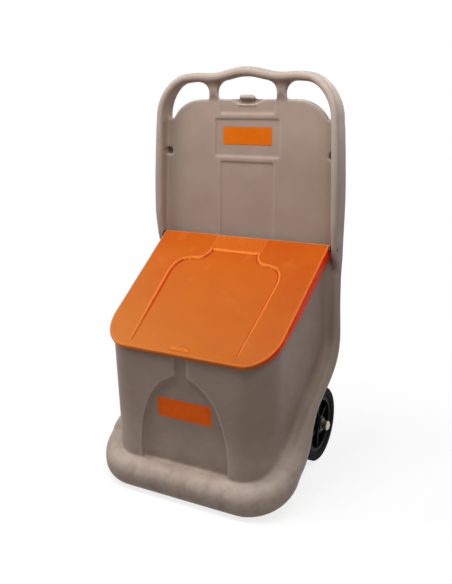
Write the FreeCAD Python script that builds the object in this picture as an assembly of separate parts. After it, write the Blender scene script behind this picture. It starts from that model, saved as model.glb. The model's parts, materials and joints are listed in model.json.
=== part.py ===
import FreeCAD
import Part
import math
import os
from FreeCAD import Vector

# A wheeled bin for grit and salt: one moulded body that is tub, back panel, side rails and
# handle in one, a hinged lid, and two wheels on a steel axle.
# All sizes are in millimetres.  While the part is built, x is measured from the middle
# plane, y from the front face of the back panel (backwards is positive) and z from the floor.
# At the end every piece is moved so that the origin lies in the middle of the flat foot.

# Overall sizes; the depth of the tub is given further down
overall_height = 1030.0
rail_half_width = 263.5
foot_back = 205.0

# Handle
hump_rise = 14.0
corner_reach = 97.0
corner_drop = 117.0
corner_inset = 9.3

# Side rails
rail_front = 35.0
rail_back = 28.0
rail_inset_hinge = 1.9
rail_thick_hinge = 17.2

# Back panel
panel_thick = 17.0
panel_top_drop = 79.0
panel_arc = 95.0
panel_arc_inset = 128.0
panel_shelf_drop = 128.0
panel_lap = 12.0
panel_low = 330.0
panel_flare_low = 93.0
panel_flare_high = 33.0
panel_recess = 3.0
channel_half = 77.0
channel_low = 8.0
channel_gap = 12.0
window_half = 92.0
window_drop = 48.0
window_tall = 96.0
window_round = 7.0

# Handle posts
post_inner = 83.0
post_outer = 108.0
post_front = 9.0
post_back = 11.0
post_round = 7.0

# Catch block on the top edge of the panel
block_half = 20.0
block_rise = 11.0
block_drop = 8.0
block_proud = 4.5
block_bevel = 2.0
block_slant = 7.0
block_short = 3.0
block_room = 5.0

# Tub: its half width at the top follows from the lid
tub_side_draft = 14.4
tub_front_low = 319.2
tub_front_draft = 23.1
tub_over_hinge = 27.0
tub_corner = 80.0
wall = 6.0
floor_thick = 36.0
rear_underside = 28.0
mouth_flange = 22.0
mouth_flange_back = 46.0

# Front recess
recess_depth_low = 17.0
recess_depth_high = 6.0
recess_neck_half = 16.0
recess_neck_low = 317.0

# Skirt
skirt_flare = 3.5
skirt_proud = 37.8
skirt_height_side = 80.0
skirt_lift = 77.0
skirt_height_front = 78.0
skirt_corner = 115.0
skirt_thick = 74.0
skirt_sunk = 0.5
station_step = 26.0

# Lid
lid_slope = math.radians(34.7)
lid_behind_hinge = 1.7
lid_over_hinge = 10.7
lid_front_inset = 0.14
lid_narrowing = 7.0
lid_corner_side = 77.0
lid_corner_front = 98.0
lid_thick = 4.0
lid_rim_thick = 4.5
lid_rim_side = 28.0
lid_rim_front = 13.0
lid_seat_gap = 2.0
lid_side_gap = 3.2
rim_clearance = 1.0
lid_recess = 4.5
grip_half = 26.7
grip_deep = 11.5
grip_edge = 387.0
grip_high = 1.6
nub_reach = 225.0
nub_radius = 3.5
nub_proud = 2.0
notch_margin = 1.5
notch_wide = 17.5
notch_front = 27.0
notch_back = 13.0
notch_half = 12.5

# Lid hinge
hinge_y = -15.0
hinge_z = 593.0
hinge_pin_radius = 4.0
hinge_clearance = 0.1
hinge_washer_radius = 8.5
hinge_space = 4.4
hinge_washer_gap = 0.25
gutter_radius = 14.0
pin_inset = 1.6
pin_dome = 1.2

# Wheels and axle
wheel_radius = 100.0
wheel_y = 41.6
wheel_inset = 50.5
tyre_width = 45.0
tyre_thick = 26.0
tyre_bevel = 3.0
rim_thick = 8.0
rim_inset = 4.0
web_half = 4.0
hub_wall = 11.0
hub_length = 50.0
hub_inset = 1.0
spokes = 6
spoke_half = 3.0
spoke_reach = 14.0
axle_radius = 8.0
axle_clearance = 0.1
bush_wall = 4.0
bush_lip = 2.0
washer_wide = 9.0
washer_thick = 2.5
side_play = 0.4
cap_wall = 4.5
cap_length = 17.0
cap_end_thick = 6.0
cap_gap = 0.2
cap_bevel = 3.0
arch_gap = 22.0
arch_side_gap = 7.0
carrier_inner = 70.0
carrier_wall = 19.0

# Sizes that follow from the ones above
handle_top = overall_height - hump_rise
corner_edge = rail_half_width - corner_inset - corner_reach
panel_top = overall_height - panel_top_drop
panel_shelf = overall_height - panel_shelf_drop
panel_arc_mid = rail_half_width - panel_arc_inset
window_high = panel_top - window_drop
window_low = window_high - window_tall
lid_back_y = hinge_y + lid_behind_hinge
lid_back_z = hinge_z + lid_over_hinge
lid_half_back = rail_half_width - rail_inset_hinge - rail_thick_hinge - hinge_space
lid_half_front = lid_half_back - lid_narrowing
tub_half_high = lid_half_back - lid_rim_thick - lid_side_gap
tub_half_low = tub_half_high - tub_side_draft
tub_front_high = tub_front_low + tub_front_draft
tub_taper_height = hinge_z + tub_over_hinge
lid_length = (tub_front_high - lid_front_inset + lid_back_y) / math.cos(lid_slope)
skirt_half_width = rail_half_width + skirt_flare
skirt_front = tub_front_low + skirt_proud
foot_middle = (skirt_front + foot_back) / 2.0
notch_outer = lid_half_back + notch_margin
notch_inner = notch_outer - notch_wide
wheel_face = rail_half_width - wheel_inset
tyre_inner = wheel_radius - tyre_thick
rim_ring = tyre_inner - rim_thick
bush_radius = axle_radius + bush_wall
hub_radius = bush_radius + hub_wall
hub_outer_face = wheel_face - hub_inset
hub_inner_face = hub_outer_face - hub_length
washer_radius = axle_radius + washer_wide
cap_radius = axle_radius + cap_wall
arch_radius = wheel_radius + arch_gap
arch_face = hub_inner_face - arch_side_gap
carrier_radius = axle_radius + carrier_wall
slope_down = Vector(0, -math.cos(lid_slope), -math.sin(lid_slope))
slope_up = Vector(0, -math.sin(lid_slope), math.cos(lid_slope))
lid_origin = Vector(0, lid_back_y, lid_back_z)
far = 2000.0


def box(x0, x1, y0, y1, z0, z1):
    """A block between two corners."""
    return Part.makeBox(x1 - x0, y1 - y0, z1 - z0, Vector(x0, y0, z0))


def rod(radius, x0, x1, y, z):
    """A round bar along x."""
    return Part.makeCylinder(radius, x1 - x0, Vector(x0, y, z), Vector(1, 0, 0))


def ring(outer, inner, x0, x1, y, z):
    """A tube along x."""
    return rod(outer, x0, x1, y, z).cut(rod(inner, x0 - 1, x1 + 1, y, z))


def turned(profile, y, z):
    """A solid turned about an axle along x; the profile gives (x, radius) pairs."""
    points = [Vector(x, y, z + r) for x, r in profile]
    face = Part.Face(Part.makePolygon(points + [points[0]]))
    return face.revolve(Vector(0, y, z), Vector(1, 0, 0), 360)


def mirrored(shape):
    """The same shape on the other side of the middle plane."""
    return shape.mirror(Vector(0, 0, 0), Vector(1, 0, 0))


def both_sides(shape):
    """The shape together with its mirror image."""
    return shape.fuse(mirrored(shape))


def outline(points):
    """A closed wire through points; a point given as a pair (middle, end) ends an arc."""
    edges = []
    last = points[0]
    for item in points[1:] + [points[0]]:
        if isinstance(item, tuple):
            edges.append(Part.Arc(last, item[0], item[1]).toShape())
            last = item[1]
        else:
            if (item - last).Length > 1e-6:
                edges.append(Part.makeLine(last, item))
            last = item
    return Part.Wire(edges)


def slab(points, direction):
    """A flat outline pushed along a direction."""
    return Part.Face(outline(points)).extrude(direction)


def tube_section(outer, normal, across, thick, deep, round_off=None):
    """A rounded rectangle whose outer face is centred on a point."""
    if round_off is None:
        round_off = 0.48 * min(thick, deep)
    middle = outer - normal * (thick / 2.0)
    a = thick / 2.0
    b = deep / 2.0
    edges = []
    corners = [(1, 1), (-1, 1), (-1, -1), (1, -1)]
    ends = []
    for sa, sb in corners:
        hub = middle + normal * (sa * (a - round_off)) + across * (sb * (b - round_off))
        from_a = hub + normal * (sa * round_off)
        from_b = hub + across * (sb * round_off)
        mid = hub + (normal * sa + across * sb) * (round_off * math.sqrt(0.5))
        if sa * sb > 0:
            ends.append((from_a, mid, from_b))
        else:
            ends.append((from_b, mid, from_a))
    for i in range(4):
        start, mid, stop = ends[i]
        edges.append(Part.Arc(start, mid, stop).toShape())
        edges.append(Part.makeLine(stop, ends[(i + 1) % 4][0]))
    return Part.Wire(edges)


def eased(places, values, at):
    """A value between given ones, following them smoothly and without overshoot."""
    steps = [b - a for a, b in zip(places[:-1], places[1:])]
    rises = [(b - a) / h for a, b, h in zip(values[:-1], values[1:], steps)]
    slopes = [rises[0]]
    for before, after in zip(rises[:-1], rises[1:]):
        level = before * after <= 0
        slopes.append(0.0 if level else 2.0 * before * after / (before + after))
    slopes.append(rises[-1])
    i = 0
    while i < len(steps) - 1 and at > places[i + 1]:
        i += 1
    t = (at - places[i]) / steps[i]
    return ((1 + 2 * t) * (1 - t) ** 2 * values[i] + t * (1 - t) ** 2 * steps[i] * slopes[i]
            + t * t * (3 - 2 * t) * values[i + 1] + t * t * (t - 1) * steps[i] * slopes[i + 1])


def even_stations(keys, start, end, step):
    """Points at even steps along a smooth line through the keys, with direction and sizes."""
    points = [key[0] for key in keys]
    curve = Part.BSplineCurve()
    curve.interpolate(Points=points, InitialTangent=start, FinalTangent=end)
    first = curve.FirstParameter
    params = [curve.parameter(point) for point in points]
    places = [curve.length(first, t) if t > first else 0.0 for t in params]
    count = max(2, round(places[-1] / step))
    result = []
    for i in range(count + 1):
        at = places[-1] * i / count
        t = curve.parameterAtDistance(at, first) if i > 0 else first
        sizes = [eased(places, [key[k] for key in keys], at) for k in range(1, len(keys[0]))]
        result.append((curve.value(t), curve.tangent(t)[0], sizes))
    return result


def lofted(stations, splits=()):
    """Lofts through the stations, one for each stretch between the splits."""
    marks = [0] + list(splits) + [len(stations) - 1]
    pieces = []
    for first, last in zip(marks[:-1], marks[1:]):
        wires = [tube_section(*station) for station in stations[first:last + 1]]
        piece = Part.makeLoft(wires, True, False)
        if piece.Volume < 0:
            piece.reverse()
        pieces.append(piece)
    return pieces


def frame_half():
    """The tube that runs from the middle of the handle down a rail and round the skirt."""
    down = Vector(0, 0, -1)
    # handle and rail: x and z of the outer edge, thickness, reach to the front and to the back
    outer = [(0.0, overall_height, 24.5, 22.0, 14.0),
             (32.0, overall_height - 3.2, 24.0, 22.0, 14.0),
             (62.0, overall_height - 10.0, 24.0, 22.0, 14.0),
             (98.0, handle_top - 0.6, 24.0, 22.0, 14.0),
             (130.0, handle_top + 0.6, 23.5, 22.0, 14.5)]
    for degrees, thick, front, back in ((90, 23.0, 22.5, 15.0), (72, 22.5, 24.0, 16.0),
                                        (54, 21.5, 28.0, 19.0), (36, 20.5, 31.5, 22.5),
                                        (18, 19.0, 34.0, 26.0), (0, 18.0, rail_front, rail_back)):
        a = math.radians(degrees)
        outer.append((corner_edge + corner_reach * math.cos(a),
                      handle_top - corner_drop * (1 - math.sin(a)), thick, front, back))
    # the rail runs down from the corner to a place above the hinge, then loses its front edge
    low = hinge_z + 32.0
    run = handle_top - corner_drop - low
    for share, inset, thick in ((0.865, 6.5, 19.6), (0.602, 2.5, 21.5), (0.365, 0.1, 21.8),
                                (0.164, 0.3, 20.0)):
        outer.append((rail_half_width - inset, low + share * run, thick, rail_front, rail_back))
    for rise, inset, thick, front in ((32.0, 1.5, rail_thick_hinge, 31.0),
                                      (-17.0, rail_inset_hinge, rail_thick_hinge, 20.0),
                                      (-41.0, 2.0, 20.0, 8.0), (-68.0, 2.0, 42.0, 2.0)):
        outer.append((rail_half_width - inset, hinge_z + rise, thick, front, rail_back))
    keys = [(Vector(x, 0, z), thick, front, back) for x, z, thick, front, back in outer]
    stations = []
    for point, along, (thick, front, back) in even_stations(keys, Vector(1, 0, 0), down, station_step):
        normal = Vector(-along.z, 0, along.x)
        middle = point + Vector(0, (back - front) / 2.0, 0)
        stations.append((middle, normal, Vector(0, 1, 0), thick, front + back))
    upper = lofted(stations, (6, 13))
    # the rail swings forward over the wheel: y and z of the middle, inset, thickness, width
    sweep = [(13.0, hinge_z - 68.0, 2.0, 42.0, 30.0), (14.5, 480.0, 2.0, 46.0, 27.0),
             (17.5, 435.0, 2.0, 46.0, 27.0), (24.0, 385.0, 2.0, 46.0, 28.0),
             (24.0, 340.0, 2.0, 46.0, 33.0), (6.0, 298.0, 2.0, 46.0, 40.0),
             (-21.0, 269.0, 2.5, 45.0, 39.0), (-52.0, 248.0, 3.0, 45.0, 35.0),
             (-85.0, 227.0, 3.5, 44.0, 33.0), (-113.0, 209.0, 2.0, 44.0, 33.0),
             (-136.0, 186.0, 0.5, 46.0, 39.0), (-155.0, 161.0, -1.5, 50.0, 50.0),
             (-174.0, 134.0, -3.0, 56.0, 64.0), (-200.0, 109.0, -3.5, 62.0, 74.0),
             (-230.0, 89.0, -3.5, 68.0, 79.0),
             (skirt_corner - skirt_front, skirt_lift, -skirt_flare, skirt_thick, skirt_height_side)]
    keys = [(Vector(0, y, z), inset, thick, wide) for y, z, inset, thick, wide in sweep]
    stations = []
    front_mid = skirt_height_front / 2.0 - skirt_sunk
    fall = 2.0 * (skirt_lift - front_mid) / (skirt_corner * math.pi / 2.0)
    end = Vector(0, -1, -fall).normalize()
    for point, along, (inset, thick, wide) in even_stations(keys, down, end, station_step):
        across = Vector(1, 0, 0).cross(along)
        middle = point + Vector(rail_half_width - inset, 0, 0)
        stations.append((middle, Vector(1, 0, 0), across, thick, wide))
    lower = lofted(stations, (8, 16))
    # skirt: falls while it turns round the front corner to the middle of the front
    hub = Vector(skirt_half_width - skirt_corner, skirt_corner - skirt_front, front_mid)
    stations = []
    for i in range(5):
        share = i / 4.0
        a = math.radians(90.0 * share)
        normal = Vector(math.cos(a), -math.sin(a), 0)
        along = Vector(-math.sin(a), -math.cos(a), -fall * (1 - share)).normalize()
        height = skirt_height_side + (skirt_height_front - skirt_height_side) * share
        rise = Vector(0, 0, (skirt_lift - front_mid) * (1 - share) ** 2)
        stations.append((hub + normal * skirt_corner + rise, normal, normal.cross(along),
                         skirt_thick, height))
    corner = lofted(stations)
    last = stations[-1][0]
    stations = [stations[-1], (Vector(0, last.y, last.z),) + stations[-1][1:]]
    return upper + lower + corner + lofted(stations)


def tub_shell(inset, low, high, back):
    """The tapering tub, or its inside when inset by the wall."""
    def half(z):
        return tub_half_low + tub_side_draft * z / tub_taper_height - inset
    def front(z):
        return inset - tub_front_low - tub_front_draft * z / tub_taper_height
    wide = slab([Vector(-half(low), 0, low), Vector(half(low), 0, low),
                 Vector(half(high), 0, high), Vector(-half(high), 0, high)],
                Vector(0, -far, 0))
    wide.translate(Vector(0, back, 0))
    deep = slab([Vector(-far, back, low), Vector(-far, front(low), low),
                 Vector(-far, front(high), high), Vector(-far, back, high)],
                Vector(2 * far, 0, 0))
    block = wide.common(deep)
    upright = [e for e in block.Edges
               if e.BoundBox.ZLength > 0.9 * (high - low) and e.BoundBox.YMax < back - 20.0]
    return block.makeFillet(tub_corner - inset, upright)


def above_slope(drop):
    """Everything above a plane that lies under the top of the lid by a drop."""
    start = lid_origin - slope_up * drop
    half = Part.makeBox(2 * far, 2 * far, far, Vector(-far, -far, 0))
    half.rotate(Vector(0, 0, 0), Vector(1, 0, 0), math.degrees(lid_slope))
    half.translate(start)
    return half


def front_step():
    """Room for the front rim of the lid, which stands square to the slope."""
    start = lid_length - lid_rim_thick - rim_clearance
    deep = lid_rim_front + lid_seat_gap
    corners = [(start, -deep), (start, deep), (start + 60.0, deep), (start + 60.0, -deep)]
    points = [lid_origin + slope_down * s - slope_up * d - Vector(far, 0, 0) for s, d in corners]
    return slab(points, Vector(2 * far, 0, 0))


def wheel_arch(radius, face):
    """Room for both wheels, with the flat side of each arch at a face."""
    one = rod(radius, face, far, wheel_y, wheel_radius)
    return both_sides(one)


def make_body():
    """The moulding before it is hollowed: tub, panel, rails, posts, skirt and carriers."""
    frame = frame_half()
    # the top of the tub is cut along the lid
    tub = tub_shell(0, 0, tub_taper_height, panel_thick)
    tub = tub.cut(above_slope(lid_thick + lid_seat_gap))
    tub = tub.cut(front_step())
    tub = tub.cut(rod(gutter_radius, -far, far, hinge_y, hinge_z))
    tub = tub.cut(box(-far, far, hinge_y - gutter_radius, far, hinge_z, far))
    tub = tub.cut(front_recess(0))
    # back panel with rounded shoulders
    p = panel_arc
    m = panel_arc_mid
    shelf_x = m + math.sqrt(p * p - (p - (panel_top - panel_shelf)) ** 2)
    mid_a = math.radians(66)
    top_mid = panel_top - p
    arc_r = Vector(m + p * math.cos(mid_a), 0, top_mid + p * math.sin(mid_a))
    arc_l = Vector(-arc_r.x, 0, arc_r.z)
    side = rail_half_width - panel_lap
    low_side = tub_half_low
    flare_low = hinge_z - panel_flare_low
    flare_high = hinge_z - panel_flare_high
    panel = slab([Vector(-low_side, 0, panel_low), Vector(-low_side, 0, flare_low),
                  Vector(-side, 0, flare_high), Vector(-side, 0, panel_shelf),
                  Vector(-shelf_x, 0, panel_shelf),
                  (arc_l, Vector(-m, 0, panel_top)), Vector(m, 0, panel_top),
                  (arc_r, Vector(shelf_x, 0, panel_shelf)),
                  Vector(side, 0, panel_shelf), Vector(side, 0, flare_high),
                  Vector(low_side, 0, flare_low), Vector(low_side, 0, panel_low)],
                 Vector(0, panel_thick, 0))
    # posts between the openings, flaring into the handle
    wires = []
    for z, inner, outer in ((panel_top - 8.0, post_inner, post_outer),
                            (panel_top + 14.0, post_inner, post_outer),
                            (panel_top + 27.0, post_inner - 2.5, post_outer + 3.0),
                            (panel_top + 37.0, post_inner - 9.0, post_outer + 12.0),
                            (panel_top + 46.0, post_inner - 24.0, post_outer + 29.0)):
        start = Vector(outer, (post_back - post_front) / 2.0, z)
        wires.append(tube_section(start, Vector(1, 0, 0), Vector(0, 1, 0),
                                  outer - inner, post_front + post_back, post_round))
    post = Part.makeLoft(wires, True, False)
    # catch block
    block_low = panel_top - block_drop
    block_top = panel_top + block_rise
    block = slab([Vector(-block_half, -block_proud, block_low),
                  Vector(-block_half, -block_proud, block_top - block_bevel),
                  Vector(-block_half + block_bevel, -block_proud, block_top),
                  Vector(block_half - block_slant, -block_proud, block_top),
                  Vector(block_half, -block_proud, block_top - block_slant),
                  Vector(block_half, -block_proud, block_low)],
                 Vector(0, block_proud + panel_thick - block_short, 0))
    # carriers that hold the axle behind the tub
    carrier = rod(carrier_radius, carrier_inner, arch_face, wheel_y, wheel_radius)
    low_z = wheel_radius - carrier_radius
    high_z = wheel_radius + carrier_radius
    carrier = carrier.fuse(box(carrier_inner, arch_face, 0, wheel_y, low_z, high_z))
    half = frame + [post, carrier]
    body = tub
    for piece in half + [mirrored(piece) for piece in half] + [panel, block]:
        body = body.fuse(piece)
    return body


def front_recess(grow):
    """The arched recess in the front wall, or the same grown by the wall thickness."""
    low = 60.0
    high = 360.0
    lean = tub_front_draft / tub_taper_height
    floor_low = recess_depth_low - tub_front_low - lean * low + grow
    floor_high = recess_depth_high - tub_front_low - lean * high + grow
    half = [Vector(120.0 + grow, -far, low), Vector(121.0 + grow, -far, 135.0),
            Vector(112.0 + grow, -far, 192.0), Vector(95.0 + grow, -far, 240.0),
            Vector(78.0 + grow, -far, 270.0), Vector(54.0 + grow, -far, 295.0),
            Vector(30.0 + grow, -far, 309.0 + grow)]
    other = [Vector(-q.x, q.y, q.z) for q in half]
    right = Part.BSplineCurve()
    right.interpolate(half)
    left = Part.BSplineCurve()
    left.interpolate(other)
    n = recess_neck_half + grow
    corners = [half[-1], Vector(n, -far, recess_neck_low + grow), Vector(n, -far, 420.0),
               Vector(-n, -far, 420.0), Vector(-n, -far, recess_neck_low + grow), other[-1]]
    edges = [right.toShape(), left.toShape(), Part.makeLine(other[0], half[0])]
    edges += [Part.makeLine(p, q) for p, q in zip(corners[:-1], corners[1:])]
    face = Part.Face(Part.Wire(Part.sortEdges(edges)[0]))
    slope = (floor_high - floor_low) / (high - low)
    limit = slab([Vector(-far, floor_low - slope * low, 0),
                  Vector(-far, floor_low + slope * (600.0 - low), 600.0),
                  Vector(-far, -far, 600.0), Vector(-far, -far, 0)], Vector(2 * far, 0, 0))
    return face.extrude(Vector(0, far, 0)).common(limit)


def cut_body(body):
    """The moulding with its tub, mouth, arches and bores cut out."""
    # inside of the tub, keeping the flange round the mouth, the humps of the wheel arches,
    # the gutter behind the lid hinge and the back of the front recess
    inside = tub_shell(wall, floor_thick, tub_taper_height, 0)
    inside = inside.cut([above_slope(lid_thick + lid_seat_gap + wall),
                         wheel_arch(arch_radius + wall, arch_face - wall),
                         rod(gutter_radius + wall, -far, far, hinge_y, hinge_z),
                         front_recess(wall)])
    half = tub_half_high - mouth_flange
    near = mouth_flange_back
    deep = lid_length - mouth_flange - wall
    r = tub_corner - 10.0
    k = r * (1 - math.sqrt(0.5))
    mouth = slab([Vector(-half, -near, 0), Vector(-half, -deep + r, 0),
                  (Vector(-half + k, -deep + k, 0), Vector(-half + r, -deep, 0)),
                  Vector(half - r, -deep, 0),
                  (Vector(half - k, -deep + k, 0), Vector(half, -deep + r, 0)),
                  Vector(half, -near, 0)], Vector(0, 0, 40.0))
    mouth.translate(Vector(0, 0, -30.0))
    mouth.rotate(Vector(0, 0, 0), Vector(1, 0, 0), math.degrees(lid_slope))
    mouth.translate(lid_origin)
    mouth = mouth.cut(front_recess(wall))
    arches = wheel_arch(arch_radius, arch_face)
    # under the back of the tub the bottom is raised
    under = slab([Vector(0, -foot_back, -5.0), Vector(0, -foot_back, 0),
                  Vector(0, -foot_back + 60.0, rear_underside),
                  Vector(0, far, rear_underside), Vector(0, far, -5.0)],
                 Vector(2 * far, 0, 0))
    under.translate(Vector(-far, 0, 0))
    axle_bore = rod(axle_radius, -far, far, wheel_y, wheel_radius)
    pin_bore = rod(hinge_pin_radius, -far, far, hinge_y, hinge_z)
    return body.cut([inside, mouth, arches, under, axle_bore, pin_bore,
                     box(-far, far, -far, far, -far, 0)])


def panel_details(body):
    """Shallow recesses in the front of the panel and the notches that hold the open lid."""
    def sunk(half, low, high):
        r = window_round
        k = r * (1 - math.sqrt(0.5))
        return slab([Vector(-half + r, -50, low),
                     Vector(half - r, -50, low),
                     (Vector(half - k, -50, low + k), Vector(half, -50, low + r)),
                     Vector(half, -50, high - r),
                     (Vector(half - k, -50, high - k), Vector(half - r, -50, high)),
                     Vector(-half + r, -50, high),
                     (Vector(-half + k, -50, high - k), Vector(-half, -50, high - r)),
                     Vector(-half, -50, low + r),
                     (Vector(-half + k, -50, low + k), Vector(-half + r, -50, low))],
                    Vector(0, 50 + panel_recess, 0))
    window = sunk(window_half, window_low, window_high)
    lower = sunk(channel_half, hinge_z - channel_low, window_low - channel_gap)
    upper = sunk(channel_half, window_high + channel_gap, panel_top + 20.0)
    upper = upper.cut(box(-far, far, -far, far, panel_top + 1.0, far))
    upper = upper.cut(box(-block_half - block_room, block_half + block_room, -far, far,
                          panel_top - block_drop - block_room - 1.0, far))
    body = body.cut([window, lower, upper])
    notch_z = hinge_z + nub_reach
    notch = slab([Vector(notch_inner, -notch_front, notch_z),
                  Vector(notch_inner, notch_back, notch_z + notch_half),
                  Vector(notch_inner, notch_back, notch_z - notch_half)],
                 Vector(notch_outer - notch_inner, 0, 0))
    return body.cut(both_sides(notch))


def lid_outline(margin):
    """The lid seen square on, in its own plane; y runs up the slope."""
    back = lid_half_back - margin
    front = lid_half_front - margin
    length = lid_length - margin
    side = lid_corner_side - margin
    reach = lid_corner_front - margin
    share = (length - reach) / lid_length
    wide = back + (front - back) * share
    points = []
    for degrees in (0, 22.5, 45, 67.5, 90):
        a = math.radians(degrees)
        points.append(Vector(wide - side + side * math.cos(a),
                             -(length - reach) - reach * math.sin(a), 0))
    right = Part.BSplineCurve()
    right.interpolate(points)
    left = Part.BSplineCurve()
    left.interpolate([Vector(-q.x, q.y, 0) for q in points])
    edges = [right.toShape(), left.toShape(),
             Part.makeLine(Vector(-back, 0, 0), Vector(back, 0, 0)),
             Part.makeLine(Vector(back, 0, 0), points[0]),
             Part.makeLine(Vector(-back, 0, 0), Vector(-points[0].x, points[0].y, 0)),
             Part.makeLine(points[-1], Vector(-points[-1].x, points[-1].y, 0))]
    return Part.Wire(Part.sortEdges(edges)[0])


def recess_outline(grow):
    """The sunk panel of the lid, a little larger when grown."""
    half = [Vector(66.0 + grow, -56.0 + grow, 0), Vector(70.0 + grow, -72.0, 0),
            Vector(80.0 + grow, -86.0 + grow, 0), Vector(94.0, -92.0 + grow, 0),
            Vector(112.0, -93.5 + grow, 0), Vector(134.0 + 0.7 * grow, -101.0 + 0.7 * grow, 0),
            Vector(147.0 + grow, -119.0, 0), Vector(153.0 + grow, -143.0, 0)]
    curve = Part.BSplineCurve()
    curve.interpolate(half)
    mirror = Part.BSplineCurve()
    mirror.interpolate([Vector(-q.x, q.y, 0) for q in half])
    end = Vector(145.0 + grow, -384.0, 0)
    other = Vector(-end.x, end.y, 0)
    edges = [curve.toShape(), mirror.toShape(),
             Part.makeLine(half[0], Vector(-half[0].x, half[0].y, 0)),
             Part.makeLine(half[-1], end), Part.makeLine(end, other),
             Part.makeLine(other, Vector(-half[-1].x, half[-1].y, 0))]
    return Part.Wire(Part.sortEdges(edges)[0])


def make_lid():
    """The lid, built flat in its own plane and then laid on the slope."""
    rim = lid_rim_side
    outer = Part.Face(lid_outline(0)).extrude(Vector(0, 0, -rim))
    top_edges = [e for e in outer.Edges if abs(e.BoundBox.ZMin) < 0.01
                 and abs(e.BoundBox.ZMax) < 0.01 and e.BoundBox.YMin < -1.0]
    outer = outer.makeFillet(3.5, top_edges)
    inner = Part.Face(lid_outline(lid_rim_thick)).extrude(Vector(0, 0, -rim))
    inner.translate(Vector(0, 0, -lid_thick))
    inner = inner.fuse(box(-lid_half_back + lid_rim_thick, lid_half_back - lid_rim_thick,
                           -20.0, 20.0, -rim - lid_thick, -lid_thick))
    # sunk panel: the floor runs out to nothing at the front
    tilt = math.atan(lid_recess / 330.0)
    def under_floor(drop):
        lower = Part.makeBox(800, 800, 60, Vector(-400, -800, 0))
        lower.translate(Vector(0, 55.0, -drop))
        lower.rotate(Vector(0, -55.0, -drop), Vector(1, 0, 0), -math.degrees(tilt))
        return lower
    pad = Part.Face(recess_outline(lid_thick)).extrude(Vector(0, 0, -20.0))
    pad = pad.common(under_floor(lid_recess + lid_thick))
    sunk = Part.Face(recess_outline(0)).extrude(Vector(0, 0, -20.0))
    sunk = sunk.common(under_floor(lid_recess))
    lid = outer.cut(inner).fuse(pad).cut(sunk)
    # shallow ramp from the back edge into the sunk panel
    ramp = slab([Vector(-70.0, 1.0, 0.5), Vector(-70.0, 1.0, -0.8),
                 Vector(-70.0, -57.0, -1.6), Vector(-70.0, -57.0, 0.5)], Vector(140.0, 0, 0))
    lid = lid.cut(ramp)
    # grip at the front edge
    grip_radius = (grip_half ** 2 + grip_deep ** 2) / (2 * grip_deep)
    grip = Part.makeCylinder(grip_radius, grip_high + 1.0,
                             Vector(0, grip_deep - grip_edge - grip_radius, -1.0))
    grip = grip.common(box(-grip_half, grip_half, -grip_edge, far, -1.0, grip_high))
    lid = lid.fuse(grip)
    # rim gets shallower towards the front
    trim = slab([Vector(-far, 40.0, -rim), Vector(-far, -210.0, -rim),
                 Vector(-far, -330.0, -lid_rim_front - 1.0),
                 Vector(-far, -lid_length - 40.0, -lid_rim_front),
                 Vector(-far, -lid_length - 40.0, -80.0), Vector(-far, 40.0, -80.0)],
                Vector(2 * far, 0, 0))
    lid = lid.cut(trim)
    # nubs on the side rims that meet the notches in the rails
    nub_s = -(nub_reach + 7.5)
    half_here = lid_half_back + (lid_half_front - lid_half_back) * (-nub_s / lid_length)
    nub = Part.makeSphere(nub_radius, Vector(half_here + nub_proud - nub_radius, nub_s, -9.0))
    lid = lid.fuse(both_sides(nub))
    lid.rotate(Vector(0, 0, 0), Vector(1, 0, 0), math.degrees(lid_slope))
    lid.translate(lid_origin)
    # upright back end of the side rims, and the pin holes
    back = lid_back_y + 10.0 * math.sin(lid_slope)
    lid = lid.cut(box(-far, far, back, far, 0, hinge_z + 2.5))
    hole = hinge_pin_radius + hinge_clearance
    return lid.cut(rod(hole, -far, far, hinge_y, hinge_z))


def hinge_parts():
    """Pin and washer of the right-hand hinge."""
    inner = lid_half_back - lid_rim_thick
    outer = rail_half_width - pin_inset
    pin = rod(hinge_pin_radius, inner, outer + pin_dome - 0.2, hinge_y, hinge_z)
    edge = [e for e in pin.Edges if e.BoundBox.XMin > outer]
    pin = pin.makeChamfer(pin_dome, edge)
    hole = hinge_pin_radius + hinge_clearance
    washer = ring(hinge_washer_radius, hole, lid_half_back + hinge_washer_gap,
                  lid_half_back + hinge_space - hinge_washer_gap, hinge_y, hinge_z)
    return pin, washer


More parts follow.
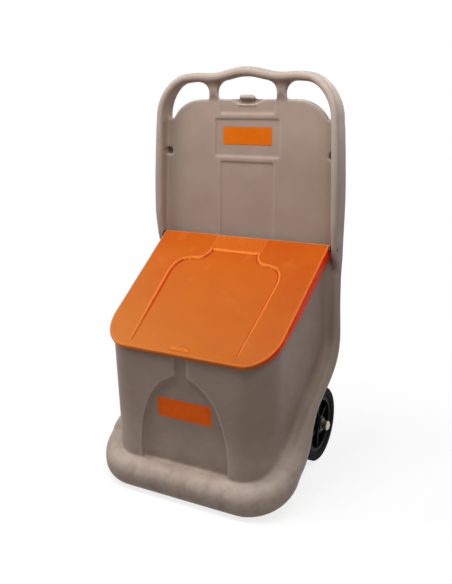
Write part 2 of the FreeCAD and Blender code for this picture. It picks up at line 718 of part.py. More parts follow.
def wheel_parts():
    """Tyre, rim, bush, washers and cap of the right-hand wheel, and the end of the axle."""
    y = wheel_y
    z = wheel_radius
    w0 = wheel_face - tyre_width
    w1 = wheel_face
    mid = (w0 + w1) / 2.0
    lip = tyre_inner + rim_thick
    tyre = turned([(w0 + rim_inset, tyre_inner), (w1 - rim_inset, tyre_inner), (w1, lip),
                   (w1, wheel_radius - tyre_bevel), (w1 - tyre_bevel, wheel_radius),
                   (w0 + tyre_bevel, wheel_radius), (w0, wheel_radius - tyre_bevel), (w0, lip)], y, z)
    rim = ring(tyre_inner, rim_ring, w0 + rim_inset, w1 - rim_inset, y, z)
    web = ring(rim_ring + 1, hub_radius - 1, mid - web_half, mid + web_half, y, z)
    hub = ring(hub_radius, bush_radius, hub_inner_face, hub_outer_face, y, z)
    rim = rim.fuse([web, hub])
    for i in range(spokes):
        rib = box(mid - spoke_reach, mid + spoke_reach, y - spoke_half, y + spoke_half,
                  z + hub_radius - 2, z + rim_ring + 2)
        rib.rotate(Vector(0, y, z), Vector(1, 0, 0), i * 360.0 / spokes)
        rim = rim.fuse(rib)
    bore = axle_radius + axle_clearance
    bush = ring(bush_radius, bore, hub_inner_face - bush_lip, hub_outer_face + bush_lip, y, z)
    inner_end = hub_inner_face - bush_lip - side_play
    outer_end = hub_outer_face + bush_lip + side_play
    washer_in = ring(washer_radius, bore, inner_end - washer_thick, inner_end, y, z)
    washer_out = ring(washer_radius, bore, outer_end, outer_end + washer_thick, y, z)
    cap_start = outer_end + washer_thick + cap_gap
    cap_end = cap_start + cap_length
    cap = rod(cap_radius, cap_start, cap_end, y, z)
    edge = [e for e in cap.Edges if e.BoundBox.XMin > cap_end - 0.01]
    cap = cap.makeChamfer(cap_bevel, edge)
    axle_end = cap_end - cap_end_thick
    cap = cap.cut(rod(axle_radius, cap_start - 5, axle_end, y, z))
    return tyre, rim, bush, washer_in, washer_out, cap, axle_end


def save(name, shapes):
    """Write one node, moved so that the origin is in the middle of the foot."""
    group = shapes[0] if len(shapes) == 1 else Part.makeCompound(shapes)
    group = group.copy()
    group.translate(Vector(0, foot_middle, 0))
    group.exportStep(os.path.join("parts", name + ".step"))


def main():
    """Build every piece and write it to its own file."""
    os.makedirs("parts", exist_ok=True)
    save("bin_body", [panel_details(cut_body(make_body()))])
    save("lid", [make_lid()])
    pin, washer = hinge_parts()
    names = ("wheel_tyre", "wheel_rim", "wheel_bush", "wheel_washer_inner",
             "wheel_washer_outer", "axle_cap")
    wheel = wheel_parts()
    axle_end = wheel[-1]
    pieces = list(zip(names, wheel[:-1])) + [("hinge_pin", pin), ("hinge_washer", washer)]
    for name, shape in pieces:
        save(name + "_right", [shape])
        save(name + "_left", [mirrored(shape)])
    save("axle", [rod(axle_radius, -axle_end, axle_end, wheel_y, wheel_radius)])


main()
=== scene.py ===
import json
import math

import bmesh
import bpy
import numpy as np
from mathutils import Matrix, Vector


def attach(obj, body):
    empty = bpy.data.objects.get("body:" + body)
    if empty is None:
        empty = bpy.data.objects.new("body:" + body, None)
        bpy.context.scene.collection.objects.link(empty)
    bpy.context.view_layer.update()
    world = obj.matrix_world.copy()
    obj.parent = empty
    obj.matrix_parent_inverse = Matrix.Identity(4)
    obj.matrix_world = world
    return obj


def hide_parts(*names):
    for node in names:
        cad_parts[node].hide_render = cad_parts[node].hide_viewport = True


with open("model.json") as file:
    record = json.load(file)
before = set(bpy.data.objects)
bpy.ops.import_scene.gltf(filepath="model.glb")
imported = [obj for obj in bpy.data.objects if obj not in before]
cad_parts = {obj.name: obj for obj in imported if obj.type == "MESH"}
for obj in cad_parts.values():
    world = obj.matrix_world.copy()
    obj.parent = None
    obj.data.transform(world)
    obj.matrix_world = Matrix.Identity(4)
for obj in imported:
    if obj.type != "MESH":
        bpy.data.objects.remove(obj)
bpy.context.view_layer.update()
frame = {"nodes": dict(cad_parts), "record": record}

nodes = frame["nodes"]
scene = bpy.context.scene

# sizes repeated from the part, in metres
PANEL_Y = 0.281
PANEL_TOP = 0.951
LID_SLOPE = math.radians(34.7)
LID_ORIGIN = Vector((0.0, PANEL_Y - 0.0133, 0.6037))
SLOPE_DOWN = Vector((0.0, -math.cos(LID_SLOPE), -math.sin(LID_SLOPE)))
SLOPE_UP = Vector((0.0, -math.sin(LID_SLOPE), math.cos(LID_SLOPE)))
# the front recess of the tub: y of the tub's front at the floor and its lean, and the recess's
# depth at two heights
TUB_FRONT = 0.3192
TUB_FRONT_DRAFT = 0.0231 / 0.620
RECESS_LOW_Z, RECESS_LOW_DEEP = 0.060, 0.017
RECESS_HIGH_Z, RECESS_HIGH_DEEP = 0.360, 0.006

# the softened meshes: grid of the remesh, share of faces kept, rounds of smoothing
BODY_VOXEL, BODY_KEPT, BODY_ROUNDS, HOLLOW_ROUNDS, FLARE_ROUNDS = 0.003, 0.3, 24, 90, 60
LID_VOXEL, LID_KEPT, LID_ROUNDS = 0.002, 0.4, 14
# how far a point goes towards its neighbours in one round: body, posts on top of that, what the
# shallow steps of the panel give back, the wide hollows, and the lid
BODY_PULL, POST_PULL, STEP_BACK, HOLLOW_PULL, LID_PULL = 0.07, 0.22, 0.055, 0.5, 0.12
# where only hollows fill up, bulges keep this share of their step, and the normals are taken
# afresh after this many rounds
BULGE_SHARE, NORMAL_ROUNDS = 0.12, 8
# thinning leaves slivers of this width and closed crumbs of fewer faces than this
SLIVER, CRUMB_FACES = 2e-5, 50
# the finger hollow under the catch block, the half width round it that is kept free of relief,
# and how far the feet of the posts stand out
SCOOP_HALF_WIDTH, SCOOP_HEIGHT, SCOOP_DEPTH, SCOOP_CLEAR = 0.048, 0.020, 0.0065, 0.056
POST_FOOT_PROUD = 0.009
POST_FOOT_INNER, POST_FOOT_OUTER = 0.078, 0.114
# relief of the lid: step of the sunk panel, bead round it, and the grip at the front edge
PANEL_STEP = 0.0028
BEAD_RISE, BEAD_OUTSIDE, BEAD_WIDTH = 0.0016, 0.0035, 0.0026
GRIP_RISE, GRIP_CENTRE, GRIP_RADIUS, GRIP_EDGE = 0.0022, 0.4122, 0.0360, 0.0015
GRIP_END = 0.3870
PANEL_END = 0.384


# ---------------------------------------------------------------- materials
def srgb(r, g, b):
    """An 8-bit display colour as linear values."""
    out = []
    for c in (r, g, b):
        c = c / 255.0
        out.append(c / 12.92 if c <= 0.04045 else ((c + 0.055) / 1.055) ** 2.4)
    return tuple(out) + (1.0,)


class Mat:
    """A node material built step by step."""

    def __init__(self, name, roughness=0.5, metallic=0.0, specular=0.5):
        self.mat = bpy.data.materials.new(name)
        self.mat.use_nodes = True
        self.tree = self.mat.node_tree
        self.bsdf = next(n for n in self.tree.nodes if n.type == "BSDF_PRINCIPLED")
        self.bsdf.inputs["Roughness"].default_value = roughness
        self.bsdf.inputs["Metallic"].default_value = metallic
        self.bsdf.inputs["Specular IOR Level"].default_value = specular
        self.coord = self.node("ShaderNodeTexCoord").outputs["Object"]

    def node(self, kind, **props):
        n = self.tree.nodes.new(kind)
        for key, value in props.items():
            setattr(n, key, value)
        return n

    def link(self, out, into):
        self.tree.links.new(out, into)

    def noise(self, scale, detail=3.0, rough=0.5, stretch=(1, 1, 1), distortion=0.0):
        n = self.node("ShaderNodeTexNoise")
        n.inputs["Scale"].default_value = scale
        n.inputs["Detail"].default_value = detail
        n.inputs["Roughness"].default_value = rough
        n.inputs["Distortion"].default_value = distortion
        if stretch == (1, 1, 1):
            self.link(self.coord, n.inputs["Vector"])
        else:
            m = self.node("ShaderNodeMapping")
            m.inputs["Scale"].default_value = stretch
            self.link(self.coord, m.inputs["Vector"])
            self.link(m.outputs["Vector"], n.inputs["Vector"])
        return n.outputs["Fac"]

    def span(self, value, low, high, to_low=0.0, to_high=1.0):
        m = self.node("ShaderNodeMapRange")
        m.clamp = True
        ends = {"From Min": low, "From Max": high, "To Min": to_low, "To Max": to_high}
        for key, number in ends.items():
            m.inputs[key].default_value = number
        self.link(value, m.inputs["Value"])
        return m.outputs["Result"]

    def math(self, operation, a, b=None):
        m = self.node("ShaderNodeMath", operation=operation)
        for i, value in enumerate((a, b)):
            if value is None:
                continue
            if isinstance(value, (int, float)):
                m.inputs[i].default_value = value
            else:
                self.link(value, m.inputs[i])
        return m.outputs["Value"]

    def mix(self, fac, a, b):
        m = self.node("ShaderNodeMix", data_type="RGBA")
        for key, value in ((0, fac), (6, a), (7, b)):
            if isinstance(value, (tuple, float, int)):
                m.inputs[key].default_value = value
            else:
                self.link(value, m.inputs[key])
        return m.outputs[2]

    def pointiness(self):
        return self.node("ShaderNodeNewGeometry").outputs["Pointiness"]

    def axis(self, which):
        s = self.node("ShaderNodeSeparateXYZ")
        self.link(self.coord, s.inputs[0])
        return s.outputs[which]

    def facing(self, which):
        """One axis of the surface's own direction."""
        s = self.node("ShaderNodeSeparateXYZ")
        self.link(self.node("ShaderNodeTexCoord").outputs["Normal"], s.inputs[0])
        return s.outputs[which]

    def along(self, direction, origin):
        """Distance in metres from a point along a direction."""
        v = self.node("ShaderNodeVectorMath", operation="DOT_PRODUCT")
        v.inputs[1].default_value = direction
        self.link(self.coord, v.inputs[0])
        return self.math("SUBTRACT", v.outputs["Value"], Vector(direction).dot(Vector(origin)))

    def bump(self, layers):
        """Stacked bumps from (height, strength, distance in metres)."""
        normal = None
        for height, strength, distance in layers:
            b = self.node("ShaderNodeBump")
            b.inputs["Strength"].default_value = strength
            b.inputs["Distance"].default_value = distance
            self.link(height, b.inputs["Height"])
            if normal is not None:
                self.link(normal, b.inputs["Normal"])
            normal = b.outputs["Normal"]
        self.link(normal, self.bsdf.inputs["Normal"])

    def colour(self, out):
        self.link(out, self.bsdf.inputs["Base Color"])

    def rough(self, out):
        self.link(out, self.bsdf.inputs["Roughness"])


def bin_plastic():
    m = Mat("bin_plastic_moulded", roughness=0.45, specular=0.18)
    cloud = m.span(m.noise(7.0, 4.0, 0.55), 0.35, 0.68)
    fine = m.span(m.noise(420.0, 2.0, 0.6), 0.3, 0.7)
    col = m.mix(cloud, srgb(145, 126, 114), srgb(156, 138, 126))
    col = m.mix(m.math("MULTIPLY", fine, 0.25), col, srgb(136, 117, 105))
    # scuffs: light drag marks, thickest low down
    scuff = m.span(m.noise(38.0, 6.0, 0.7, (1.0, 1.0, 2.6), 0.6), 0.58, 0.74)
    low = m.span(m.axis(2), 0.03, 0.5, 1.0, 0.22)
    col = m.mix(m.math("MULTIPLY", m.math("MULTIPLY", scuff, low), 0.4), col, srgb(183, 170, 158))
    # dust, and painted light: the up-facing shoulder of the foot is made lighter as if lit from
    # above
    low_down = m.span(m.axis(2), 0.11, 0.2, 1.0, 0.0)
    shelf_top_light_and_dust = m.math("MULTIPLY", m.span(m.facing(2), -0.7, 0.4), low_down)
    dust = m.math("MULTIPLY", shelf_top_light_and_dust, m.span(m.noise(14.0, 5.0, 0.65), 0.28, 0.64, 0.3, 0.75))
    col = m.mix(dust, col, srgb(192, 176, 164))
    # knocks and smudges on the foot
    smudge = m.span(m.noise(13.0, 6.0, 0.75, distortion=0.8), 0.55, 0.68)
    foot = m.span(m.axis(2), 0.08, 0.16, 0.45, 0.0)
    col = m.mix(m.math("MULTIPLY", smudge, foot), col, srgb(122, 107, 97))
    # patches darker towards the ground
    low_dark_patches = m.span(m.noise(22.0, 5.0, 0.65), 0.45, 0.75)
    ground = m.span(m.axis(2), 0.0, 0.12, 0.55, 0.0)
    col = m.mix(m.math("MULTIPLY", low_dark_patches, ground), col, srgb(96, 84, 75))
    # edges are lighter: partly wear, partly a painted highlight on convex edges
    edge = m.span(m.pointiness(), 0.503, 0.535)
    col = m.mix(m.math("MULTIPLY", edge, 0.5), col, srgb(184, 173, 164))
    m.colour(col)
    m.rough(m.span(m.noise(30.0, 4.0, 0.6), 0.3, 0.7, 0.40, 0.55))
    m.bump([(m.noise(26.0, 2.0, 0.5), 0.25, 0.002), (m.noise(700.0, 2.0, 0.6), 0.25, 0.0004)])
    return m.mat


def lid_plastic():
    m = Mat("lid_plastic_moulded", roughness=0.38, specular=0.11)
    m.bsdf.inputs["Specular Tint"].default_value = (1.0, 0.8, 0.6, 1.0)
    cloud = m.span(m.noise(9.0, 4.0, 0.55), 0.35, 0.7)
    col = m.mix(cloud, srgb(168, 68, 0), srgb(177, 80, 2))
    # bleached lighter towards the free edge, with a painted sheen towards the left-hand corner
    down = m.along(SLOPE_DOWN, LID_ORIGIN)
    leftward = m.span(m.axis(0), 0.2, -0.24, 0.55, 1.3)
    bleach_and_sheen = m.math("MULTIPLY", m.span(down, 0.02, 0.42, 0.05, 0.75), leftward)
    col = m.mix(bleach_and_sheen, col, srgb(186, 108, 42))
    # faint hazy spots where hands and weather dulled the surface
    haze = m.span(m.noise(16.0, 2.0, 0.5), 0.6, 0.72)
    col = m.mix(m.math("MULTIPLY", haze, 0.22), col, srgb(192, 108, 52))
    # textured tread at the back
    across = m.span(m.math("ABSOLUTE", m.axis(0)), 0.0735, 0.0765, 1.0, 0.0)
    tread = m.math("MULTIPLY", across, m.span(down, 0.056, 0.059, 1.0, 0.0))
    pebble = m.noise(260.0, 1.0, 0.5)
    grain = m.math("MULTIPLY", tread, m.span(pebble, 0.3, 0.7, 0.12, 0.5))
    col = m.mix(grain, col, srgb(196, 102, 32))
    # painted glow: the rims at the sides are a deeper, brighter red, as if lit through the thin
    # plastic
    side_rim_glow = m.span(m.math("ABSOLUTE", m.facing(0)), 0.55, 0.9)
    col = m.mix(m.math("MULTIPLY", side_rim_glow, 0.95), col, srgb(244, 40, 0))
    # painted light: the rim in front is coloured lighter, as if lit through the thin plastic
    front = m.span(m.facing(1), -0.8, -0.95)
    col = m.mix(m.math("MULTIPLY", front, 0.85), col, srgb(255, 138, 44))
    # painted shade: the colour is darkened to a deep red in hollows and steps; edges are lighter,
    # partly wear and partly a painted highlight
    hollow = m.span(m.pointiness(), 0.494, 0.47)
    col = m.mix(m.math("MULTIPLY", hollow, 0.6), col, srgb(142, 34, 0))
    edge = m.span(m.pointiness(), 0.504, 0.53)
    edge = m.math("MULTIPLY", m.math("MULTIPLY", edge, 0.65), m.math("SUBTRACT", 1.0, side_rim_glow))
    col = m.mix(edge, col, srgb(226, 128, 58))
    m.colour(col)
    m.rough(m.span(m.noise(24.0, 4.0, 0.6), 0.3, 0.7, 0.36, 0.5))
    m.bump([(m.noise(20.0, 2.0, 0.5), 0.2, 0.002), (m.noise(800.0, 2.0, 0.6), 0.15, 0.0003),
            (m.math("MULTIPLY", pebble, tread), 0.6, 0.0012)])
    return m.mat


def tyre_rubber():
    m = Mat("tyre_rubber_worn", roughness=0.8, specular=0.06)
    dust = m.span(m.noise(60.0, 5.0, 0.65), 0.45, 0.75)
    worn = m.span(m.pointiness(), 0.505, 0.54)
    col = m.mix(m.math("MULTIPLY", dust, 0.4), srgb(9, 9, 8), srgb(26, 24, 22))
    m.colour(m.mix(m.math("MULTIPLY", worn, 0.5), col, srgb(34, 32, 30)))
    m.rough(m.span(m.noise(90.0, 3.0, 0.5), 0.3, 0.7, 0.68, 0.85))
    m.bump([(m.noise(500.0, 3.0, 0.6), 0.4, 0.0006)])
    return m.mat


def rim_plastic():
    m = Mat("rim_plastic_moulded", roughness=0.5, specular=0.08)
    dust = m.span(m.noise(70.0, 4.0, 0.6), 0.5, 0.8)
    worn = m.span(m.pointiness(), 0.51, 0.56)
    col = m.mix(m.math("MULTIPLY", dust, 0.4), srgb(9, 9, 9), srgb(26, 24, 23))
    m.colour(m.mix(m.math("MULTIPLY", worn, 0.5), col, srgb(40, 38, 37)))
    m.rough(m.span(m.noise(80.0, 3.0, 0.5), 0.3, 0.7, 0.45, 0.6))
    m.bump([(m.noise(600.0, 2.0, 0.6), 0.2, 0.0004)])
    return m.mat


def bush_plastic():
    m = Mat("bush_plastic_nylon", roughness=0.5, specular=0.2)
    stain = m.span(m.noise(160.0, 4.0, 0.6), 0.4, 0.75)
    m.colour(m.mix(m.math("MULTIPLY", stain, 0.5), srgb(66, 58, 52), srgb(44, 39, 35)))
    m.bump([(m.noise(900.0, 2.0, 0.5), 0.2, 0.0003)])
    return m.mat


def metal(name, light, dark, low, high):
    m = Mat(name, roughness=low, metallic=1.0)
    spots = m.span(m.noise(180.0, 5.0, 0.6), 0.4, 0.7)
    m.colour(m.mix(spots, light, dark))
    m.rough(m.span(m.noise(240.0, 3.0, 0.6, (1.0, 6.0, 6.0)), 0.3, 0.7, low, high))
    m.bump([(m.noise(1100.0, 2.0, 0.6), 0.12, 0.0002)])
    return m.mat


def sticker_film():
    m = Mat("sticker_film", roughness=0.38, specular=0.12)
    # the upper film is more faded than the lower one
    fade = m.span(m.noise(30.0, 4.0, 0.6), 0.35, 0.7)
    bright = m.mix(fade, srgb(236, 92, 0), srgb(242, 101, 0))
    faded = m.mix(fade, srgb(196, 92, 2), srgb(203, 101, 8))
    col = m.mix(m.span(m.axis(2), 0.4, 0.7), bright, faded)
    specks = m.span(m.noise(380.0, 3.0, 0.7), 0.66, 0.74)
    m.colour(m.mix(m.math("MULTIPLY", specks, 0.3), col, srgb(238, 160, 96)))
    m.rough(m.span(m.noise(50.0, 3.0, 0.6), 0.3, 0.7, 0.32, 0.46))
    m.bump([(m.noise(45.0, 2.0, 0.5), 0.15, 0.0006)])
    return m.mat


MATERIALS = {
    "bin_plastic": bin_plastic(),
    "lid_plastic": lid_plastic(),
    "tyre_rubber": tyre_rubber(),
    "rim_plastic": rim_plastic(),
    "bush_plastic": bush_plastic(),
    "steel": metal("steel_zinc", srgb(92, 90, 86), srgb(56, 53, 49), 0.38, 0.5),
    "cap_metal": metal("cap_metal_bright", srgb(186, 176, 167), srgb(150, 139, 129), 0.22, 0.36),
}
for part in frame["record"]["subparts"]:
    mesh = nodes[part["node"]].data
    mesh.materials.clear()
    mesh.materials.append(MATERIALS[part["material_slot"]])


# ---------------------------------------------------------------- softened body
def new_piece(name, mesh, body, material):
    obj = bpy.data.objects.new(name, mesh)
    scene.collection.objects.link(obj)
    mesh.materials.clear()
    mesh.materials.append(material)
    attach(obj, body)
    return obj


def evaluated(obj):
    """The object's mesh with its modifiers applied."""
    graph = bpy.context.evaluated_depsgraph_get()
    return bpy.data.meshes.new_from_object(obj.evaluated_get(graph))


def remeshed(source, voxel):
    """A closed, even mesh of the same form, as a scratch object."""
    obj = bpy.data.objects.new("scratch", source.data.copy())
    scene.collection.objects.link(obj)
    mod = obj.modifiers.new("voxels", "REMESH")
    mod.mode = "VOXEL"
    mod.voxel_size = voxel
    mesh = evaluated(obj)
    bpy.data.objects.remove(obj)
    return mesh


def mesh_arrays(mesh):
    points = np.empty(len(mesh.vertices) * 3)
    mesh.vertices.foreach_get("co", points)
    edges = np.empty(len(mesh.edges) * 2, np.int64)
    mesh.edges.foreach_get("vertices", edges)
    return points.reshape(-1, 3), edges.reshape(-1, 2)


def set_points(mesh, points):
    mesh.vertices.foreach_set("co", points.ravel())
    mesh.update()


def outward(mesh):
    normals = np.empty(len(mesh.vertices) * 3)
    mesh.vertices.foreach_get("normal", normals)
    return normals.reshape(-1, 3)


def relax(mesh, weight, rounds, hollows_only=False):
    """Moves every point towards the mean of its neighbours, by its own weight each round."""
    points, edges = mesh_arrays(mesh)
    a, b = edges[:, 0], edges[:, 1]
    count = len(points)
    degree = np.bincount(a, minlength=count) + np.bincount(b, minlength=count)
    for turn in range(rounds):
        if hollows_only and turn % NORMAL_ROUNDS == 0:
            set_points(mesh, points)
            normals = outward(mesh)
        mean = np.empty_like(points)
        for k in range(3):
            total = np.bincount(a, points[b, k], count) + np.bincount(b, points[a, k], count)
            mean[:, k] = total / degree
        step = weight[:, None] * (mean - points)
        if hollows_only:
            step[np.einsum("ij,ij->i", step, normals) < 0.0] *= BULGE_SHARE
        points = points + step
    set_points(mesh, points)


def smooth_step(low, high, value):
    t = np.clip((value - low) / (high - low), 0.0, 1.0)
    return t * t * (3.0 - 2.0 * t)


def cleaned(mesh):
    """Takes out slivers and the small closed crumbs that thinning leaves."""
    bm = bmesh.new()
    bm.from_mesh(mesh)
    bmesh.ops.dissolve_degenerate(bm, dist=SLIVER, edges=bm.edges[:])
    bmesh.ops.triangulate(bm, faces=bm.faces[:])
    bm.faces.ensure_lookup_table()
    bm.faces.index_update()
    seen = np.zeros(len(bm.faces), bool)
    crumbs = []
    for start in bm.faces:
        if seen[start.index]:
            continue
        seen[start.index] = True
        island, queue = [start], [start]
        while queue:
            for edge in queue.pop().edges:
                for face in edge.link_faces:
                    if not seen[face.index]:
                        seen[face.index] = True
                        island.append(face)
                        queue.append(face)
        if len(island) < CRUMB_FACES:
            crumbs += island
    bmesh.ops.delete(bm, geom=crumbs, context="FACES")
    bm.to_mesh(mesh)
    bm.free()


def thinned(mesh, ratio):
    """The same form with fewer faces, smoothly shaded."""
    obj = bpy.data.objects.new("scratch", mesh)
    scene.collection.objects.link(obj)
    mod = obj.modifiers.new("fewer", "DECIMATE")
    mod.ratio = ratio
    fine = evaluated(obj)
    bpy.data.objects.remove(obj)
    cleaned(fine)
    fine.shade_smooth()
    return fine


def scoop(x, z):
    """Depth of the finger hollow in the panel under the catch block."""
    share = (x / SCOOP_HALF_WIDTH) ** 2 + ((PANEL_TOP + 0.006 - z) / SCOOP_HEIGHT) ** 2
    return SCOOP_DEPTH * smooth_step(0.0, 0.2, 1.0 - share)


def soft_body():
    mesh = remeshed(nodes["bin_body"], BODY_VOXEL)
    points, _ = mesh_arrays(mesh)
    x, y, z = np.abs(points[:, 0]), points[:, 1], points[:, 2]
    # the feet of the posts run into the panel, and the panel is hollowed under the block
    proud = POST_FOOT_PROUD * smooth_step(PANEL_TOP - 0.006, PANEL_TOP + 0.026, z)
    foot = (x > POST_FOOT_INNER) & (x < POST_FOOT_OUTER)
    foot &= (z > PANEL_TOP - 0.012) & (z < PANEL_TOP + 0.03)
    points[:, 1] = np.where(foot, np.maximum(y, PANEL_Y - proud), y)
    y = points[:, 1]
    under = (x < SCOOP_CLEAR) & (y < PANEL_Y + 0.004)
    under &= (z > PANEL_TOP - 0.03) & (z < PANEL_TOP + 0.001)
    points[:, 1] = np.where(under, np.maximum(y, PANEL_Y + scoop(x, z)), y)
    set_points(mesh, points)
    # the moulding is well rounded, apart from the shallow steps of the panel
    face = smooth_step(0.105, 0.095, x) * (z > 0.585) * (np.abs(y - PANEL_Y) < 0.006)
    post = smooth_step(0.045, 0.06, x) * smooth_step(0.150, 0.135, x) * smooth_step(0.958, 0.968, z)
    hollow = (x < 0.06) & (np.abs(z - PANEL_TOP) < 0.03) & (y < PANEL_Y + 0.008)
    weight = BODY_PULL + POST_PULL * post * smooth_step(1.02, 1.0, z)
    weight -= STEP_BACK * np.maximum(face, hollow)
    relax(mesh, weight, BODY_ROUNDS)
    points, _ = mesh_arrays(mesh)
    x, y, z = np.abs(points[:, 0]), points[:, 1], points[:, 2]
    # wide hollows where the side of the tub runs into the rail, the panel and the foot
    soft = smooth_step(0.145, 0.185, x) * smooth_step(0.60, 0.52, z) * smooth_step(0.30, 0.27, y)
    soft *= smooth_step(-0.03, 0.06, y)
    relax(mesh, HOLLOW_PULL * soft, HOLLOW_ROUNDS, hollows_only=True)
    # and wider ones where the posts spread into the handle
    points, _ = mesh_arrays(mesh)
    x, z = np.abs(points[:, 0]), points[:, 2]
    flare = smooth_step(0.05, 0.07, x) * smooth_step(0.165, 0.145, x) * smooth_step(0.972, 0.985, z)
    relax(mesh, HOLLOW_PULL * flare, FLARE_ROUNDS, hollows_only=True)
    fine = thinned(mesh, BODY_KEPT)
    piece = new_piece("bin_moulding", fine, "bin", MATERIALS["bin_plastic"])
    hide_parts("bin_body")


# half the outline of the lid's sunk panel: half width and distance down the slope
LID_RECESS = [(0.066, 0.056), (0.070, 0.072), (0.080, 0.086), (0.094, 0.092), (0.112, 0.0935),
              (0.134, 0.101), (0.147, 0.119), (0.153, 0.143), (0.145, PANEL_END)]


def distance_inside(x, down):
    """How far points lie inside the outline of the lid's sunk panel, seen square on."""
    best = down - LID_RECESS[0][1]
    best = np.where(x < LID_RECESS[0][0], np.abs(best), 1.0)
    inside = down > LID_RECESS[0][1]
    limit = np.interp(down, [q[1] for q in LID_RECESS], [q[0] for q in LID_RECESS])
    inside &= x < limit
    for (x0, d0), (x1, d1) in zip(LID_RECESS[:-1], LID_RECESS[1:]):
        t = ((x - x0) * (x1 - x0) + (down - d0) * (d1 - d0)) / ((x1 - x0) ** 2 + (d1 - d0) ** 2)
        t = np.clip(t, 0.0, 1.0)
        best = np.minimum(best, np.hypot(x - x0 - t * (x1 - x0), down - d0 - t * (d1 - d0)))
    return np.where(inside, best, -best)


def soft_lid():
    mesh = remeshed(nodes["lid"], LID_VOXEL)
    points, _ = mesh_arrays(mesh)
    relative = points - np.array(LID_ORIGIN)
    x = np.abs(points[:, 0])
    down = relative @ np.array(SLOPE_DOWN)
    over = relative @ np.array(SLOPE_UP)
    relax(mesh, np.full(len(points), LID_PULL), LID_ROUNDS)
    # the sunk panel keeps a visible step down to the front edge
    points, _ = mesh_arrays(mesh)
    top = (over > -0.0075) & (outward(mesh) @ np.array(SLOPE_UP) > 0.3)
    inside = distance_inside(x, down)
    step = PANEL_STEP * smooth_step(-0.0005, 0.0022, inside) * smooth_step(0.06, 0.26, down)
    bead = BEAD_RISE * np.exp(-((inside + BEAD_OUTSIDE) / BEAD_WIDTH) ** 2)
    bead *= smooth_step(0.36, 0.10, down)
    # the grip is a round slice with its flat side at the front edge
    grip = smooth_step(GRIP_RADIUS + GRIP_EDGE, GRIP_RADIUS, np.hypot(x, down - GRIP_CENTRE))
    grip *= smooth_step(GRIP_END + GRIP_EDGE, GRIP_END, down)
    rise = bead - step * smooth_step(0.386, 0.372, down) + GRIP_RISE * grip
    points += np.where(top, rise, 0.0)[:, None] * np.array(SLOPE_UP)
    set_points(mesh, points)
    fine = thinned(mesh, LID_KEPT)
    piece = new_piece("lid_moulding", fine, "lid_leaf", MATERIALS["lid_plastic"])
    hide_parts("lid")


soft_body()
soft_lid()

# ---------------------------------------------------------------- stickers
STICKER = sticker_film()
STICKER_CORNER = 0.0025
STICKER_THICK = 0.0004
STICKER_SUNK = 0.0003


def sticker(name, middle, wide, high, normal, up):
    """A bare printed film with rounded corners, laid on a flat place."""
    across = up.cross(normal).normalized()
    ring = []
    for sx, sy, start in ((1, 1, 0), (-1, 1, 90), (-1, -1, 180), (1, -1, 270)):
        for i in range(5):
            a = math.radians(start + i * 22.5)
            u = sx * (wide / 2 - STICKER_CORNER) + STICKER_CORNER * math.cos(a)
            v = sy * (high / 2 - STICKER_CORNER) + STICKER_CORNER * math.sin(a)
            ring.append(middle + across * u + up * v)
    count = len(ring)
    points = ring + [point + normal * STICKER_THICK for point in ring]
    back, front = [0] + list(range(count - 1, 0, -1)), list(range(count, 2 * count))
    sides = [(i, (i + 1) % count, count + (i + 1) % count, count + i) for i in range(count)]
    mesh = bpy.data.meshes.new(name)
    mesh.from_pydata(points, [], [back, front] + sides)
    new_piece(name, mesh, "bin", STICKER)


def tub_recess_y(z, deep):
    """Where the floor of the front recess lies at a height."""
    return PANEL_Y - TUB_FRONT - TUB_FRONT_DRAFT * z + deep


sticker("sticker_back", Vector((0.0, PANEL_Y + 0.003 - STICKER_SUNK, 0.861)), 0.138, 0.0445,
        Vector((0, -1, 0)), Vector((0, 0, 1)))
low_y = tub_recess_y(RECESS_LOW_Z, RECESS_LOW_DEEP)
high_y = tub_recess_y(RECESS_HIGH_Z, RECESS_HIGH_DEEP)
lean = (high_y - low_y) / (RECESS_HIGH_Z - RECESS_LOW_Z)
front_up = Vector((0, lean, 1)).normalized()
front_normal = Vector((0, -1, lean)).normalized()
front_z = 0.2275
front_place = Vector((0.0, low_y + lean * (front_z - RECESS_LOW_Z), front_z))
sticker("sticker_front", front_place - front_normal * STICKER_SUNK, 0.150, 0.051,
        front_normal, front_up)


# ---------------------------------------------------------------- stage, light and camera
def background_rays(tree):
    """1 for rays that show the background: camera, glossy and transmission."""
    path = tree.nodes.new("ShaderNodeLightPath")
    total = path.outputs["Is Camera Ray"]
    for key in ("Is Glossy Ray", "Is Transmission Ray"):
        m = tree.nodes.new("ShaderNodeMath")
        m.operation = "MAXIMUM"
        tree.links.new(total, m.inputs[0])
        tree.links.new(path.outputs[key], m.inputs[1])
        total = m.outputs[0]
    return total


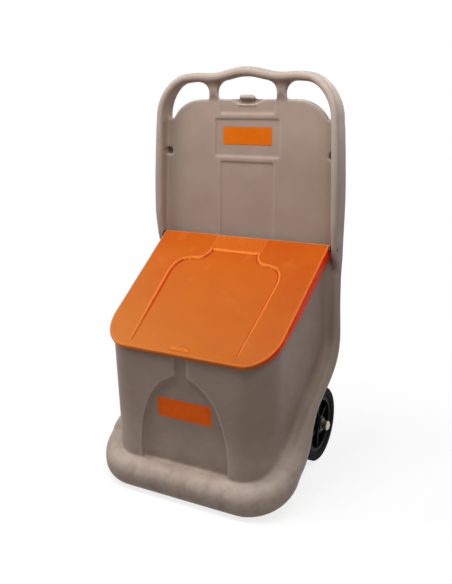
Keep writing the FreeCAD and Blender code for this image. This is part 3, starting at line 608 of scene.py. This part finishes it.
def make_floor():
    mesh = bpy.data.meshes.new("floor")
    half = 6.0
    fade_from, fade_to = 0.45, 1.5
    pale_grey, pale_glow = 0.22, 0.80
    mesh.from_pydata([(-half, -half, 0), (half, -half, 0), (half, half, 0), (-half, half, 0)], [],
                     [(0, 1, 2, 3)])
    floor = bpy.data.objects.new("floor", mesh)
    scene.collection.objects.link(floor)
    mat = bpy.data.materials.new("floor_pale")
    mat.use_nodes = True
    tree = mat.node_tree
    tree.nodes.clear()
    out = tree.nodes.new("ShaderNodeOutputMaterial")
    diffuse = tree.nodes.new("ShaderNodeBsdfDiffuse")
    diffuse.inputs["Color"].default_value = (0.45, 0.44, 0.43, 1.0)
    pale = tree.nodes.new("ShaderNodeBsdfDiffuse")
    pale.inputs["Color"].default_value = (pale_grey, pale_grey, pale_grey, 1.0)
    glow = tree.nodes.new("ShaderNodeEmission")
    glow.inputs["Strength"].default_value = pale_glow
    add = tree.nodes.new("ShaderNodeAddShader")
    mix = tree.nodes.new("ShaderNodeMixShader")
    tree.links.new(pale.outputs[0], add.inputs[0])
    tree.links.new(glow.outputs[0], add.inputs[1])
    # away from the object the floor runs out into the white of the studio
    white = tree.nodes.new("ShaderNodeEmission")
    white.inputs["Strength"].default_value = 1.0
    place = tree.nodes.new("ShaderNodeTexCoord")
    away = tree.nodes.new("ShaderNodeVectorMath")
    away.operation = "LENGTH"
    tree.links.new(place.outputs["Object"], away.inputs[0])
    fade = tree.nodes.new("ShaderNodeMapRange")
    fade.interpolation_type = "SMOOTHSTEP"
    fade.inputs["From Min"].default_value = fade_from
    fade.inputs["From Max"].default_value = fade_to
    tree.links.new(away.outputs["Value"], fade.inputs["Value"])
    shown = tree.nodes.new("ShaderNodeMixShader")
    tree.links.new(fade.outputs["Result"], shown.inputs[0])
    tree.links.new(add.outputs[0], shown.inputs[1])
    tree.links.new(white.outputs[0], shown.inputs[2])
    tree.links.new(background_rays(tree), mix.inputs[0])
    tree.links.new(diffuse.outputs[0], mix.inputs[1])
    tree.links.new(shown.outputs[0], mix.inputs[2])
    tree.links.new(mix.outputs[0], out.inputs["Surface"])
    mesh.materials.append(mat)


def make_world():
    world = bpy.data.worlds.new("studio")
    scene.world = world
    world.use_nodes = True
    tree = world.node_tree
    tree.nodes.clear()
    out = tree.nodes.new("ShaderNodeOutputWorld")
    light = tree.nodes.new("ShaderNodeBackground")
    light.inputs["Color"].default_value = (1.0, 0.99, 0.98, 1.0)
    light.inputs["Strength"].default_value = 0.2
    white = tree.nodes.new("ShaderNodeBackground")
    white.inputs["Color"].default_value = (1.0, 1.0, 1.0, 1.0)
    white.inputs["Strength"].default_value = 1.0
    mix = tree.nodes.new("ShaderNodeMixShader")
    tree.links.new(background_rays(tree), mix.inputs[0])
    tree.links.new(light.outputs[0], mix.inputs[1])
    tree.links.new(white.outputs[0], mix.inputs[2])
    tree.links.new(mix.outputs[0], out.inputs["Surface"])


def lamp(name, place, target, size, watts, colour=(1.0, 1.0, 1.0)):
    data = bpy.data.lights.new(name, "AREA")
    data.shape = "DISK"
    data.size = size
    data.energy = watts
    data.color = colour
    obj = bpy.data.objects.new(name, data)
    obj.location = place
    obj.rotation_euler = (Vector(target) - Vector(place)).to_track_quat("-Z", "Y").to_euler()
    scene.collection.objects.link(obj)


make_floor()
make_world()
lamp("key", (-0.15, -0.38, 2.0), (0.0, 0.15, 0.6), 0.9, 18.0, (1.0, 0.99, 0.98))
lamp("side", (-1.4, -0.45, 1.7), (0.0, 0.2, 0.8), 0.9, 17.0, (1.0, 0.995, 0.99))
lamp("right", (0.72, -0.25, 1.65), (-0.1, 0.26, 0.85), 0.6, 8.0)
lamp("back", (0.5, 2.1, 1.5), (0.0, 0.3, 0.5), 1.4, 14.0)

camera = bpy.data.cameras.new("camera")
camera.sensor_fit = "HORIZONTAL"
camera.sensor_width = 36.0
camera.lens = 60.01
camera.shift_x = 0.01814
camera.shift_y = 0.0024
camera.clip_end = 50.0
eye = bpy.data.objects.new("camera", camera)
eye.location = (0.8896, -1.4609, 0.943)
eye.rotation_euler = (math.radians(75.8), 0.0, math.radians(29.2))
scene.collection.objects.link(eye)
scene.camera = eye

scene.view_settings.view_transform = "Standard"
